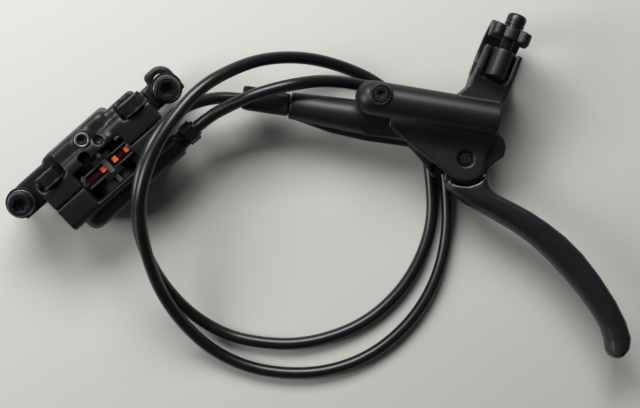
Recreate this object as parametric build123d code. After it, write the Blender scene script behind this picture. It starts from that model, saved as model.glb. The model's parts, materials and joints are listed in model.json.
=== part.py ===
from build123d import *
import math
import os

os.makedirs("parts", exist_ok=True)

# Bicycle hydraulic disc brake, lying on a table: lever unit, hose, caliper.
# Millimetres. Z is up from the table, X to the right, Y away from the viewer.

# Where the two units lie, with the turn of each about Z and the caliper's lean
LEVER_AT = (57.6, 11.2, 15.2)
LEVER_TURN = -9.5
CALIPER_AT = (-88.6, 12.9, 1.2)
CALIPER_TURN = 41.5
CALIPER_LEAN = 12.0

# Fits: a running fit is a radial gap, a slip fit lets a shank through a hole
RUN = 0.05
SLIP = 0.2

# Handlebar clamp
BAR_R = 11.1
CLAMP_WALL = 2.6
CLAMP_R = BAR_R + CLAMP_WALL
CLAMP_W = 15.4
CLAMP_AT = (6.8, 43.1)
CLAMP_TURN = -11.8
CLAMP_GAP = (1.0, 5.3)
HINGE_OUT = 2.2
HINGE_ANGLE = math.radians(-119.3)
HINGE_AT = ((BAR_R + HINGE_OUT) * math.cos(HINGE_ANGLE), (BAR_R + HINGE_OUT) * math.sin(HINGE_ANGLE))
HINGE_PIN_R = 1.2
KNUCKLE_R = 2.6
CLAMP_BOLT_R = 2.5
CLAMP_BOLT_Z = BAR_R + 4.7
CLAMP_HEAD_R = 3.9
CLAMP_EAR_Y = 9.9
BARREL_BOSS_R = 4.3

# Master cylinder and reservoir
BORE_Y = 10.0
BORE_R = 4.75
BORE_MOUTH = -12.0
BORE_END = -52.0
BARREL_R = 6.75
TUBE_END = -73.5
TUBE_R = 5.5
RES_Y, RES_Z, RES_R = 17.5, 10.8, 7.0
RES_CAVITY_R = 4.8
FAIRING_R = 9.8
BLEED_AT = (-38.2, 18.8)
BLEED_SEAT = 17.4
BODY_RIGHT = 9.9
EAR_R = 9.3
EAR_TOP = 7.3
EAR_BOTTOM = -7.2
FLANGE_TOP = -2.6
PIVOT_R = 2.5

# Blade
BLADE_HALF = 6.0
HUB_HALF = 3.3
BUSH_R = 3.5
BUSH_FLANGE = 0.6
SIDE_PLAY = 0.1
SLOT_HALF = HUB_HALF + BUSH_FLANGE + SIDE_PLAY
REACH_Y = 10.0
REACH_TIP = -1.0
REACH_R = 2.0

# Hose and its fittings
HOSE_R = 2.5
HOSE_BORE_R = 1.05
BARB_R = 1.0
BARB_L = 8.0
SOCKET_R = 3.65
HOSE_END_X = -64.6

# Caliper
BLOCK_X = {"rear": -27.6, "front": 28.6}
BLOCK_OUT = -11.2
BLOCK_TOP = 30.0
SPLIT = 0.02
ROTOR_SLOT_HALF = 2.2
ROTOR_SLOT_TOP = 22.8
PISTON_X, PISTON_Z, PISTON_R = -3.0, 14.3, 10.0
WINDOW = (-13.0, 11.0, -8.6, 6.3)
BODY_BOLT_X = (-20.4, 22.5)
BODY_BOLT_Z = 26.4
BODY_BOLT_R = 3.0
BOLT_SEAT_Y = 8.6
MOUNT_X = 37.1
MOUNT_Y = {"rear": 11.0, "front": 6.85}
MOUNT_SLOT_Y = {"rear": 10.4, "front": 8.6}
MOUNT_SLOT_HALF = 1.7
EAR_BOX = {"rear": (-40.5, -20.0, 4.2, 17.0), "front": (27.0, 43.0, 1.9, 16.3)}
MOUNT_BOLT_R = 3.0
MOUNT_TIP = -2.0
MOUNT_THREAD_END = 7.8
MOUNT_WAIST_R = 2.8
INLET_Y, INLET_Z = -12.3, 22.5
CALIPER_BLEED_AT = (-0.9, 14.3)
INLET_X = 9.5
SPACER_HALF = 0.75
PAD_TRAVEL = 0.26
PAD_GAP = 0.04
LINING_IN = SPACER_HALF + PAD_TRAVEL + PAD_GAP
LINING_T = 2.0
PLATE_T = 1.8
PAD_PIN_AT = (-0.5, 27.2)
PAD_PIN_R = 1.2

X_AXIS, Y_AXIS, Z_AXIS = (1, 0, 0), (0, 1, 0), (0, 0, 1)

LEVER = Location(LEVER_AT, (0, 0, LEVER_TURN))
CLAMP = LEVER * Location((CLAMP_AT[0], CLAMP_AT[1], 0), (0, 0, CLAMP_TURN))
CALIPER = Location(CALIPER_AT, (0, 0, CALIPER_TURN)) * Location((0, 0, 0), (CALIPER_LEAN, 0, 0))
INLET = Location((INLET_X, INLET_Y, INLET_Z))

# Hose route: corner points of straight runs, each corner rounded
HOSE_MIDDLE = [
    (-49.6, 35, 21), (-60.2, 27.6, 31.4), (-67.8, 14.6, 38), (-72.2, -0.4, 37.6),
    (-73.2, -15.4, 31.2), (-70.2, -29.2, 21.8), (-64, -41.6, 12.8), (-54.6, -52.8, 6),
    (-41.2, -61.4, 2.6), (-27.8, -64.8, 2.5), (-11.4, -65.8, 2.6), (5, -62.4, 2.5),
    (19.8, -55.4, 2.6), (32.4, -44, 2.5), (41.2, -30.2, 2.6), (46.2, -14, 2.5), (45.6, 2.4, 2.6),
    (43.4, 18.8, 2.6), (35, 33.4, 2.5), (22.4, 44.4, 2.5), (7.6, 50.4, 6.8), (-7.2, 53, 14),
    (-21.6, 51.6, 23), (-32.8, 47.6, 30), (-46.8, 38.8, 40), (-57, 26.2, 43.4),
    (-64.6, 14.2, 44.4), (-70.2, -2.4, 43.2), (-71, -16.4, 36.3), (-69, -30, 28.2),
    (-65.2, -43, 19.2), (-57.6, -55.8, 11.6), (-46.6, -67.6, 4.4), (-31.6, -75.2, 2.6),
    (-15.4, -78, 2.5), (1.2, -77.2, 2.6), (17.2, -72, 2.5), (30.8, -62.6, 2.6), (41.8, -50, 2.5),
    (49, -35.2, 2.6), (52.4, -18.8, 2.6), (52.2, -2.4, 2.6), (50.2, 14.2, 2.5), (44.2, 28.8, 5.4),
    (31.4, 38.8, 9.6), (16.4, 42, 10.2), (1.2, 43.2, 18), (-12.6, 40.6, 26.4), (-27.2, 36.6, 27),
    (-38.2, 32, 22.8),
]


def box(x0, x1, y0, y1, z0, z1):
    return Pos((x0 + x1) / 2, (y0 + y1) / 2, (z0 + z1) / 2) * Box(x1 - x0, y1 - y0, z1 - z0)


def rod(start, direction, r, h):
    """Cylinder from start along direction."""
    return Plane(origin=start, z_dir=direction) * Cylinder(
        r, h, align=(Align.CENTER, Align.CENTER, Align.MIN))


def taper(start, direction, r0, r1, h):
    return Plane(origin=start, z_dir=direction) * Cone(
        r0, r1, h, align=(Align.CENTER, Align.CENTER, Align.MIN))


def hexagon(start, direction, flats, h, x_dir=None):
    """Hexagonal prism with the given distance across flats."""
    plane = Plane(origin=start, z_dir=direction)
    if x_dir:
        plane = Plane(origin=start, x_dir=x_dir, z_dir=direction)
    return extrude(plane * RegularPolygon(flats / 2, 6, major_radius=False), h)


def outline_face(points):
    """Face over an outline, always facing up whichever way the points run."""
    area = sum(a[0] * b[1] - b[0] * a[1] for a, b in zip(points, points[1:] + points[:1]))
    return Polygon(*(points if area > 0 else points[::-1]), align=None)


def plan(points, z0, z1):
    """Prism over a plan outline."""
    return extrude(Plane.XY.offset(z0) * outline_face(points), z1 - z0)


def section_x(points, x0, x1):
    """Prism along X over an outline given as (y, z) points."""
    plane = Plane(origin=(x0, 0, 0), x_dir=(0, 1, 0), z_dir=(1, 0, 0))
    return extrude(plane * outline_face(points), x1 - x0)


def section_y(points, y0, y1):
    """Prism along Y over an outline given as (x, z) points."""
    plane = Plane(origin=(0, y1, 0), x_dir=(1, 0, 0), z_dir=(0, -1, 0))
    return extrude(plane * outline_face(points), y1 - y0)


def arc_points(cx, cy, r, a0, a1, n):
    return [(cx + r * math.cos(math.radians(a0 + (a1 - a0) * i / n)),
             cy + r * math.sin(math.radians(a0 + (a1 - a0) * i / n))) for i in range(n + 1)]


# Lever unit. X runs along the bore to the right, the pivot is the origin.

def ear_outline():
    return ([(-31.8, 7.5)] + arc_points(0, 0, EAR_R, 240, 327, 12)
            + [(7.8, 3.0), (BODY_RIGHT, 13.4), (BODY_RIGHT, 17.5), (-31.8, 17.5)])


def fairing():
    """Concave face from the reservoir's front down to the top of the ears."""
    r = FAIRING_R
    cy = RES_Y - math.sqrt((RES_R + r) ** 2 - (EAR_TOP + r - RES_Z) ** 2)
    cz = EAR_TOP + r
    end = math.degrees(math.atan2(RES_Z - cz, RES_Y - cy))
    hollow = arc_points(cy, cz, r, -90, end, 10)
    wedge = section_x(hollow + [(RES_Y, RES_Z), (RES_Y, 4.0), (cy, 4.0)], -33, BODY_RIGHT)
    return wedge & plan(ear_outline(), 0, 20)


def lever_shell():
    shell = taper((TUBE_END, BORE_Y, 0), X_AXIS, TUBE_R, BARREL_R, 25.0)
    shell += rod((TUBE_END + 25, BORE_Y, 0), X_AXIS, BARREL_R, 38.0)
    shell += rod((-41.1, RES_Y, RES_Z), X_AXIS, RES_R, 41.1 + BODY_RIGHT)
    shell += Pos(-41.1, RES_Y, RES_Z) * Sphere(RES_R)
    ears = plan(ear_outline(), EAR_BOTTOM, EAR_TOP)
    shell += ears - box(-33, 12, 12.0, 18.5, EAR_BOTTOM - 1, -4.6)
    shell += fairing()
    shell += section_x([(10, -6.6), (14, -5.6), (21.5, 1.5), (24.3, 9.0), (RES_Y, RES_Z),
                        (10, 6.0)], -41, BODY_RIGHT)
    shell += plan([(-73.0, 10), (-73.0, 5.2), (-55.6, 2.0), (-40.8, 1.1), (-22.8, 1.6),
                   (-20.5, 0.1), (-15.6, -4.1), (-10.6, -9.3), (-6.5, -6.8), (-4.0, 10)],
                  EAR_BOTTOM, FLANGE_TOP)
    shell += plan([(-49.1, 11.9), (-44.5, 5.2), (-41.5, 2.9), (-27.4, 4.0), (-20, 2.0),
                   (-20, 13), (-41, 14)], -5.5, 4.0)
    shell += rod((*BLEED_AT, RES_Z), Z_AXIS, 4.1, BLEED_SEAT + 1.3 - RES_Z)
    return shell


def clamp_arm():
    return plan([(-7.9, 16), (-7.9, 24.9), (-4.0, 29.5), (-3.0, 34.0), (12.4, 36.0),
                 (12.4, 31.5), (BODY_RIGHT, 26.5), (BODY_RIGHT, 16)], -5.0, 14.5)


def clamp_half():
    """Fixed half of the bar clamp in the clamp's own frame: X along the bar."""
    half = rod((-CLAMP_W / 2, 0, 0), X_AXIS, CLAMP_R, CLAMP_W)
    top = CLAMP_BOLT_Z + 0.8
    half += section_x([(CLAMP_GAP[0], 8.0), (CLAMP_GAP[0], top), (-9.5, top), (-14.0, top - 1.8),
                       (-17.0, top - 2.2), (-17.0, -4.0), (-10, -9.0)],
                      -CLAMP_W / 2, CLAMP_W / 2)
    keep = section_x([(CLAMP_GAP[0], 30), (-30, 30), (-30, -30), (HINGE_AT[0] * 2.2, -25.5),
                      (0, 0), (CLAMP_GAP[0], 0.5)], -12, 12)
    half &= keep
    half -= box(-5.0, 5.3, -11.5, 2.0, CLAMP_BOLT_Z - 3.9, CLAMP_BOLT_Z + 6.2)
    half += rod((0, -10.5, CLAMP_BOLT_Z), Y_AXIS, BARREL_BOSS_R, 10.5 + CLAMP_GAP[0])
    half += box(-3.4, 3.4, -9.5, CLAMP_GAP[0], CLAMP_BOLT_Z - 4.2, CLAMP_BOLT_Z)
    for side in (-1, 1):
        half += rod((side * 5.4 - 2.3, HINGE_AT[0], HINGE_AT[1]), X_AXIS, KNUCKLE_R, 4.6)
    half -= rod((-3.1, HINGE_AT[0], HINGE_AT[1]), X_AXIS, KNUCKLE_R + SLIP, 6.2)
    return half


def lever_body():
    body = lever_shell() + clamp_arm()
    place = Location((CLAMP_AT[0], CLAMP_AT[1], 0), (0, 0, CLAMP_TURN))
    body += place * clamp_half()
    body -= place * rod((-14, 0, 0), X_AXIS, BAR_R, 28)
    body -= place * rod((-10, HINGE_AT[0], HINGE_AT[1]), X_AXIS, HINGE_PIN_R, 20)
    body -= place * rod((0, -9.5, CLAMP_BOLT_Z), Y_AXIS, CLAMP_BOLT_R, 12)
    # Bore, the hose socket at its left end, and the passage between them
    body -= rod((BORE_END, BORE_Y, 0), X_AXIS, BORE_R, BORE_MOUTH - BORE_END + 0.5)
    body -= rod((TUBE_END - 1, BORE_Y, 0), X_AXIS, SOCKET_R, HOSE_END_X + 0.9 - TUBE_END + 1)
    body -= rod((TUBE_END, BORE_Y, 0), X_AXIS, 1.0, 24.0)
    body -= rod((BORE_MOUTH - 2.2, BORE_Y, 0), X_AXIS, BORE_R + 0.5, 0.9)
    # Room for the blade, which swings between the ears
    slot = rod((0, 0, -SLOT_HALF), Z_AXIS, 18.0, 2 * SLOT_HALF)
    slot += box(0, 24, -25, 17, -SLOT_HALF, SLOT_HALF)
    slot &= box(BORE_MOUTH, 24, -25, 18, -6, 6)
    body -= slot
    body -= rod((0, 0, -10), Z_AXIS, PIVOT_R, 20)
    body -= rod((0, 0, EAR_TOP - 1.2), Z_AXIS, 3.3, 3)
    # Reservoir, its two ports, the plug's seat and the bleed hole
    body -= rod((-40, RES_Y, RES_Z), X_AXIS, RES_CAVITY_R, 46)
    body -= rod((6.0, RES_Y, RES_Z), X_AXIS, 6.0, 6)
    for x, r in ((-37.6, 0.4), (-27.0, 1.0)):
        body -= rod((x, RES_Y, RES_Z), (0, BORE_Y - RES_Y, -RES_Z), r, 11.0)
    body -= rod((*BLEED_AT, BLEED_SEAT), Z_AXIS, 3.4, 4)
    body -= rod((*BLEED_AT, 12.0), Z_AXIS, 2.0, 6)
    return body


def clamp_cap():
    cap = rod((-CLAMP_W / 2, 0, 0), X_AXIS, CLAMP_R, CLAMP_W)
    keep = section_x([(CLAMP_GAP[1], 30), (30, 30), (30, -30), (HINGE_AT[0] * 2.2, -25.5),
                      (0, 0), (CLAMP_GAP[1], 0)], -12, 12)
    cap &= keep
    cap += box(-8.0, 8.0, CLAMP_GAP[1], CLAMP_EAR_Y, BAR_R - 4.1, CLAMP_BOLT_Z + 1.8)
    ear_top = CLAMP_BOLT_Z + 4.1
    for x, r in ((0, 4.7), (-5.2, 2.8), (5.2, 2.8)):
        cap += rod((x, CLAMP_GAP[1], ear_top - r), Y_AXIS, r, CLAMP_EAR_Y - CLAMP_GAP[1])
    cap += rod((-3.0, HINGE_AT[0], HINGE_AT[1]), X_AXIS, KNUCKLE_R, 6.0)
    for side in (-1, 1):
        cap -= rod((side * 5.6 - 2.5, HINGE_AT[0], HINGE_AT[1]), X_AXIS, KNUCKLE_R + SLIP, 5.0)
    cap -= rod((-12, 0, 0), X_AXIS, BAR_R, 24)
    cap -= rod((-10, HINGE_AT[0], HINGE_AT[1]), X_AXIS, HINGE_PIN_R, 20)
    cap -= rod((0, 0, CLAMP_BOLT_Z), Y_AXIS, CLAMP_BOLT_R + SLIP, 20)
    cap -= rod((0, CLAMP_EAR_Y, CLAMP_BOLT_Z), Y_AXIS, CLAMP_HEAD_R + SLIP, 20)
    return cap


def clamp_hinge_pin():
    return rod((-CLAMP_W / 2 + 0.1, HINGE_AT[0], HINGE_AT[1]), X_AXIS, HINGE_PIN_R, CLAMP_W - 0.2)


def clamp_bolt():
    bolt = rod((0, -7.6, CLAMP_BOLT_Z), Y_AXIS, CLAMP_BOLT_R, 7.6 + CLAMP_EAR_Y)
    bolt += rod((0, CLAMP_EAR_Y, CLAMP_BOLT_Z), Y_AXIS, 3.5, 1.2)
    bolt += rod((0, CLAMP_EAR_Y + 1.2, CLAMP_BOLT_Z), Y_AXIS, CLAMP_HEAD_R, 3.8)
    bolt += taper((0, CLAMP_EAR_Y + 5.0, CLAMP_BOLT_Z), Y_AXIS, CLAMP_HEAD_R, 3.1, 0.9)
    return bolt - hexagon((0, CLAMP_EAR_Y + 3.2, CLAMP_BOLT_Z), Y_AXIS, 4.0, 4.0)


# Stations along the blade: a point on the bar side and one on the finger side
BLADE_STATIONS = [
    ((10.2, -5.4), (-6.6, -9.6)), ((11.0, -8.2), (-5.2, -13.0)), ((12.6, -10.4), (-0.8, -15.8)),
    ((15.8, -12.1), (4.2, -18.4)), ((21.4, -13.8), (12.8, -21.4)), ((29.7, -16.6), (23.3, -25.3)),
    ((37.3, -20.0), (31.8, -29.4)), ((45.2, -24.3), (39.7, -34.5)), ((53.2, -30.0), (48.0, -40.9)),
    ((61.7, -37.9), (55.4, -47.2)), ((69.5, -46.5), (61.6, -53.4)), ((75.0, -54.0), (65.9, -58.6)),
    ((78.2, -60.4), (68.3, -63.4)), ((78.4, -65.0), (69.3, -67.0)), ((76.6, -67.9), (71.0, -69.0)),
    ((74.9, -69.4), (73.2, -69.7))]


def blade_section(bar, finger):
    """D-shaped section: flat top and bottom, full round on the finger side."""
    along = Vector(finger[0] - bar[0], finger[1] - bar[1], 0)
    w = along.length
    along = along.normalized()
    k = min(1.0, w / 9.0)
    h = BLADE_HALF * (1.0 if w > 6 else 0.55 + 0.45 * w / 6)
    profile = [(0.0, 0.75 * h), (0.14 * w, h), (w - 5.6 * k, h), (w - 2.6 * k, 0.83 * h),
               (w - 0.7 * k, 0.45 * h)]
    ring = profile + [(w, 0.0)] + [(t, -z) for t, z in reversed(profile)]
    points = [Vector(bar[0], bar[1], 0) + along * t + Vector(0, 0, z) for t, z in ring]
    return make_face(Polyline(*points, close=True))


def lever_blade():
    blade = loft([blade_section(*pair) for pair in BLADE_STATIONS], ruled=True)
    hub = plan([(11.3, 12.9), (14.5, 10.6), (15.8, 7.5), (15.6, 3.6), (12.6, 0.7), (10.2, -2.3),
                (10.2, -6.2), (-6.8, -10.4), (-7.0, -8.0), (-6.3, 0), (-5.0, 5.5), (2.5, 6.2),
                (2.5, 13.2), (8.6, 13.8)], -HUB_HALF, HUB_HALF)
    around = rod((0, 0, HUB_HALF), Z_AXIS, 11.0, 6) + box(-12, 24, -4.6, 20, HUB_HALF, 9)
    blade -= around
    blade -= mirror(around, Plane.XY)
    blade += hub
    blade -= rod((0, 0, -8), Z_AXIS, BUSH_R, 16)
    blade -= rod((0, REACH_Y, 0), X_AXIS, REACH_R, 12)
    return blade - rod((10.8, REACH_Y, 0), X_AXIS, REACH_R + 0.15, 12)


def reach_screw():
    screw = rod((REACH_TIP + REACH_R, REACH_Y, 0), X_AXIS, REACH_R, 9.5)
    screw += Pos(REACH_TIP + REACH_R, REACH_Y, 0) * Sphere(REACH_R)
    return screw - hexagon((8.5, REACH_Y, 0), X_AXIS, 2.0, 4)


def pivot_pin():
    return rod((0, 0, EAR_BOTTOM), Z_AXIS, PIVOT_R, EAR_TOP - 0.8 - EAR_BOTTOM)


def pivot_bush(side):
    bush = rod((0, 0, 0.1), Z_AXIS, BUSH_R, HUB_HALF - 0.1)
    bush += rod((0, 0, HUB_HALF), Z_AXIS, 4.5, BUSH_FLANGE)
    bush -= rod((0, 0, 0), Z_AXIS, PIVOT_R + RUN, 5)
    return bush if side > 0 else mirror(bush, Plane.XY)


def push_rod():
    rod_shape = rod((-2.6, BORE_Y, 0), X_AXIS, 2.6, 1.5)
    rod_shape += rod((-17.8, BORE_Y, 0), X_AXIS, 1.8, 15.4)
    return rod_shape + Pos(-17.8, BORE_Y, 0) * Sphere(1.8)


PISTON_FRONT, PISTON_BACK = -36.4, -14.15
CUPS = {"primary": (-35.6, -33.2), "secondary": (-19.6, -17.2)}


def master_piston():
    piston = rod((PISTON_FRONT, BORE_Y, 0), X_AXIS, BORE_R - RUN, PISTON_BACK - PISTON_FRONT)
    for x0, x1 in CUPS.values():
        ring = rod((x0, BORE_Y, 0), X_AXIS, BORE_R + 1, x1 - x0)
        piston -= ring - rod((x0, BORE_Y, 0), X_AXIS, 3.3, x1 - x0)
    waist = rod((-32.0, BORE_Y, 0), X_AXIS, BORE_R + 1, 10.5)
    piston -= waist - rod((-32.0, BORE_Y, 0), X_AXIS, 3.4, 10.5)
    piston -= rod((-17.8, BORE_Y, 0), X_AXIS, 1.8 + RUN, 6)
    return piston - Pos(-17.8, BORE_Y, 0) * Sphere(1.8 + RUN)


def cup(name):
    x0, x1 = CUPS[name]
    ring = rod((x0, BORE_Y, 0), X_AXIS, BORE_R - 0.01, x1 - x0)
    ring -= rod((x0, BORE_Y, 0), X_AXIS, 3.3, x1 - x0)
    lip = taper((x0 - 0.01, BORE_Y, 0), X_AXIS, 4.3, 3.3, 1.2)
    return ring - lip


def master_spring():
    wire, coil, x0, x1 = 0.45, 3.7, -51.5, PISTON_FRONT - 0.5
    axis = Plane(origin=(x0, BORE_Y, 0), z_dir=X_AXIS)
    path = Helix(pitch=2.35, height=x1 - x0, radius=coil)
    section = Plane(origin=path @ 0, z_dir=path % 0) * Circle(wire)
    spring = sweep(section, path=path, is_frenet=True)
    return axis * spring


def piston_retainer():
    ring = rod((BORE_MOUTH - 2.1, BORE_Y, 0), X_AXIS, BORE_R + 0.4, 0.7)
    return ring - rod((BORE_MOUTH - 3, BORE_Y, 0), X_AXIS, 2.6, 3)


def dust_boot():
    boot = rod((BORE_MOUTH - 1.4, BORE_Y, 0), X_AXIS, BORE_R, 1.4)
    boot += taper((BORE_MOUTH, BORE_Y, 0), X_AXIS, 3.7, 2.7, 2.4)
    return boot - rod((BORE_MOUTH - 3, BORE_Y, 0), X_AXIS, 1.8 + 0.15, 8)


def reservoir_bladder():
    bag = rod((-34.0, RES_Y, RES_Z), X_AXIS, RES_CAVITY_R - 0.3, 40.0)
    bag += rod((6.0, RES_Y, RES_Z), X_AXIS, 5.95, 0.8)
    return bag - rod((-33.4, RES_Y, RES_Z), X_AXIS, RES_CAVITY_R - 1.0, 42)


def reservoir_plug():
    plug = rod((6.8, RES_Y, RES_Z), X_AXIS, 6.0, BODY_RIGHT - 6.8 - 0.4)
    plug += rod((4.6, RES_Y, RES_Z), X_AXIS, RES_CAVITY_R - 1.1, 2.3)
    return plug - hexagon((BODY_RIGHT - 1.8, RES_Y, RES_Z), X_AXIS, 4.0, 3)


def lever_bleed_screw():
    screw = rod((*BLEED_AT, BLEED_SEAT + 0.4), Z_AXIS, 3.1, 1.3)
    screw += rod((*BLEED_AT, BLEED_SEAT - 2.4), Z_AXIS, 2.0, 2.9)
    return screw - hexagon((*BLEED_AT, BLEED_SEAT + 0.7), Z_AXIS, 2.2, 2)


def lever_bleed_seal():
    seal = rod((*BLEED_AT, BLEED_SEAT), Z_AXIS, 3.1, 0.4)
    return seal - rod((*BLEED_AT, BLEED_SEAT - 1), Z_AXIS, 2.0, 2)


def hose_nut(flats, hex_len, body_r, body_len):
    """Nut along +X: hex first, then the threaded body that goes into the socket."""
    nut = hexagon((-hex_len, 0, 0), X_AXIS, flats, hex_len)
    nut += rod((0, 0, 0), X_AXIS, body_r, body_len)
    return nut - rod((-hex_len - 3, 0, 0), X_AXIS, HOSE_R, hex_len + body_len + 6)


def olive(length, outer):
    ring = rod((0, 0, 0), X_AXIS, outer, length)
    ring -= rod((-1, 0, 0), X_AXIS, HOSE_R, length + 2)
    return ring


def hose_insert(flange_r):
    """Flanged barb: the flange closes the hose end at x = 0, the barb points to -X."""
    barb = rod((-BARB_L, 0, 0), X_AXIS, BARB_R, BARB_L) + rod((0, 0, 0), X_AXIS, flange_r, 0.9)
    return barb - rod((-BARB_L - 1, 0, 0), X_AXIS, 0.5, BARB_L + 4)


LEVER_NUT = Location((TUBE_END, BORE_Y, 0))
LEVER_NUT_BODY = 6.5


def hose_boot():
    """Rubber sleeve: squares up over the nut, closes on the hose at its far end."""
    outline = [(-93.0, 5.6), (-91.0, 5.2), (-73.8, 5.6), (-73.8, 14.4), (-91.0, 14.8),
               (-93.0, 14.4)]
    sleeve = plan(outline, -5.0, 5.0)
    sleeve = fillet(sleeve.edges().filter_by(Axis.X, tolerance=8), 2.0)
    sleeve -= rod((-80.0, BORE_Y, 0), X_AXIS, 4.05, 8)
    return sleeve - rod((-95, BORE_Y, 0), X_AXIS, HOSE_R, 20)


# Caliper. X along the casting, +Y the frame side, Z up from the rotor's side.

def mount_slot(x, y):
    half = MOUNT_SLOT_HALF
    slot = box(x - 3.2, x + 3.2, y - half, y + half, 0, 22)
    for side in (-half, half):
        slot += rod((x, y + side, 0), Z_AXIS, 3.2, 22)
    return slot


def mount_ear(name):
    """Slotted ear with its outer corner rounded; the front one has a neck."""
    ear = box(*EAR_BOX[name], 8, 17)
    corner = [e for e in ear.edges().filter_by(Axis.Z)
              if abs(e.center().X) > 40 and e.center().Y > 10]
    ear = fillet(corner, 5.8)
    if name == "front":
        ear -= box(20, 32.2, 12.6, 20, 7, 18)
        ear = fillet([e for e in ear.edges().filter_by(Axis.Z)
                      if abs(e.center().X - 32.2) < 0.1 and e.center().Y > 15], 1.8)
        return ear - mount_slot(MOUNT_X, MOUNT_SLOT_Y[name])
    return ear - mount_slot(-MOUNT_X, MOUNT_SLOT_Y[name])


def piston_bore(sign):
    y0 = 0 if sign > 0 else -16.0
    bore = rod((PISTON_X, y0, PISTON_Z), Y_AXIS, PISTON_R + RUN, 16)
    ys = 9.0 if sign > 0 else -11.2
    return bore + rod((PISTON_X, ys, PISTON_Z), Y_AXIS, PISTON_R + 1.6, 2.2)


def inner_half():
    half = box(BLOCK_X["rear"], BLOCK_X["front"], SPLIT, 12.2, 8.0, BLOCK_TOP)
    half = fillet([e for e in half.edges().filter_by(Axis.X) if e.center().Y > 10], 3.0)
    bulge = box(-20.8, 12.7, SPLIT, 18.5, 2.9, 28.0)
    bulge = fillet([e for e in bulge.edges().filter_by(Axis.Y)], 4.0)
    bulge = fillet(bulge.faces().sort_by(Axis.Y)[-1].edges(), 2.5)
    half += bulge
    ridge = box(12, 26.0, 10, 16.3, 14, 26.5)
    half += fillet(ridge.faces().sort_by(Axis.Y)[-1].edges(), 2.0)
    half += mount_ear("rear") + mount_ear("front")
    half += rod((*CALIPER_BLEED_AT, 20), Z_AXIS, 4.2, 8.6)
    return half + rod((7.1, 7.9, 29), Z_AXIS, 1.7, 1.8)


def outer_half():
    half = box(BLOCK_X["rear"], 26.0, BLOCK_OUT, -SPLIT, 8.0, BLOCK_TOP)
    half = fillet([e for e in half.edges().filter_by(Axis.X) if e.center().Y < -5], 3.0)
    dome = box(-23.6, 12.0, -17.6, -SPLIT, 2.9, 26.0)
    dome = fillet([e for e in dome.edges().filter_by(Axis.Y)], 7.0)
    dome = fillet(dome.faces().sort_by(Axis.Y)[0].edges(), 4.0)
    half += dome
    half += INLET * rod((-6, 0, 0), X_AXIS, 5.3, 6 + 26.0 - INLET_X)
    half += box(10, 25.0, -12.5, -5, 16, 27)
    return half


def caliper_cuts(half, sign):
    half -= box(-60, 60, -ROTOR_SLOT_HALF, ROTOR_SLOT_HALF, -5, ROTOR_SLOT_TOP)
    half -= box(WINDOW[0], WINDOW[1], WINDOW[2], WINDOW[3], -5, 40)
    half -= piston_bore(sign)
    for x in BODY_BOLT_X:
        half -= box(x - 6.1, x + 6.1, BOLT_SEAT_Y, 25, 20.2, 40)
        r = BODY_BOLT_R + SLIP if sign > 0 else BODY_BOLT_R
        half -= rod((x, -7.8, BODY_BOLT_Z), Y_AXIS, r, 24)
    half -= rod((PAD_PIN_AT[0], -10, PAD_PIN_AT[1]), Y_AXIS, PAD_PIN_R, 21)
    # Cross passage between the two bores, with the seat of its seal
    half -= rod((15.0, -7, 26.2), Y_AXIS, 0.8, 14)
    half -= rod((15.0, -0.7, 26.2), Y_AXIS, 2.2, 1.4)
    end_y = sign * 6.6
    half -= rod((15.0, end_y, 26.2), (-15.0, sign * 2.4, -11.0), 0.8, 15.5)
    return half


def caliper_inner_half():
    half = caliper_cuts(inner_half(), 1)
    half -= rod((*CALIPER_BLEED_AT, 25.2), Z_AXIS, 2.0, 6)
    half -= rod((*CALIPER_BLEED_AT, 28.6), Z_AXIS, 3.0, 4)
    half -= rod((*CALIPER_BLEED_AT, 23.5), Z_AXIS, 0.6, 3)
    # Two hollows in the top face, left by the core of the casting
    half -= rod((-5.1, 8.2, 25.4), Z_AXIS, 2.4, 8)
    return half - rod((3.7, 10.0, 27.4), Z_AXIS, 1.8, 4)


def caliper_outer_half():
    half = caliper_cuts(outer_half(), -1)
    half -= INLET * rod((26.0 - INLET_X - 8.0, 0, 0), X_AXIS, 4.0, 12)
    half -= INLET * rod((-7.5, 0, 0), X_AXIS, 0.9, 20)
    half -= rod((5.0, -12.0, 23.5), (-0.5, 0, -1), 0.9, 8)
    return half


def body_bolt(x):
    bolt = rod((x, -7.6, BODY_BOLT_Z), Y_AXIS, BODY_BOLT_R, 7.6 + BOLT_SEAT_Y)
    bolt += rod((x, BOLT_SEAT_Y, BODY_BOLT_Z), Y_AXIS, 5.9, 1.0)
    bolt += hexagon((x, BOLT_SEAT_Y + 1, BODY_BOLT_Z), Y_AXIS, 10.0, 4.8, x_dir=(1, 0, 0))
    return bolt - rod((x, BOLT_SEAT_Y + 4.2, BODY_BOLT_Z), Y_AXIS, 3.0, 3)


def crossover_seal():
    seal = Torus(1.5, 0.68)
    return Plane(origin=(15.0, 0, 26.2), z_dir=Y_AXIS) * seal


def caliper_piston(sign):
    y0, y1 = LINING_IN + LINING_T + PLATE_T, 14.0
    piston = rod((PISTON_X, y0, PISTON_Z), Y_AXIS, PISTON_R, y1 - y0)
    piston -= rod((PISTON_X, y0 - 1, PISTON_Z), Y_AXIS, 7.4, 7.0)
    return piston if sign > 0 else mirror(piston, Plane.XZ)


def piston_seal(sign):
    y0 = 9.0 if sign > 0 else -11.2
    ring = rod((PISTON_X, y0 + 0.05, PISTON_Z), Y_AXIS, PISTON_R + 1.6, 2.1)
    return ring - rod((PISTON_X, y0 - 1, PISTON_Z), Y_AXIS, PISTON_R + 0.01, 5)


PAD_OUTLINE = [(-12.85, 5.5), (-10.5, 3.6), (8.5, 3.6), (10.85, 5.5), (10.85, 19.5), (8.8, 21.4),
               (5.0, 21.8), (3.6, 29.0), (2.2, 30.2), (-3.2, 30.2), (-4.6, 29.0), (-6.0, 21.8),
               (-10.8, 21.4), (-12.85, 19.5)]


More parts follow.
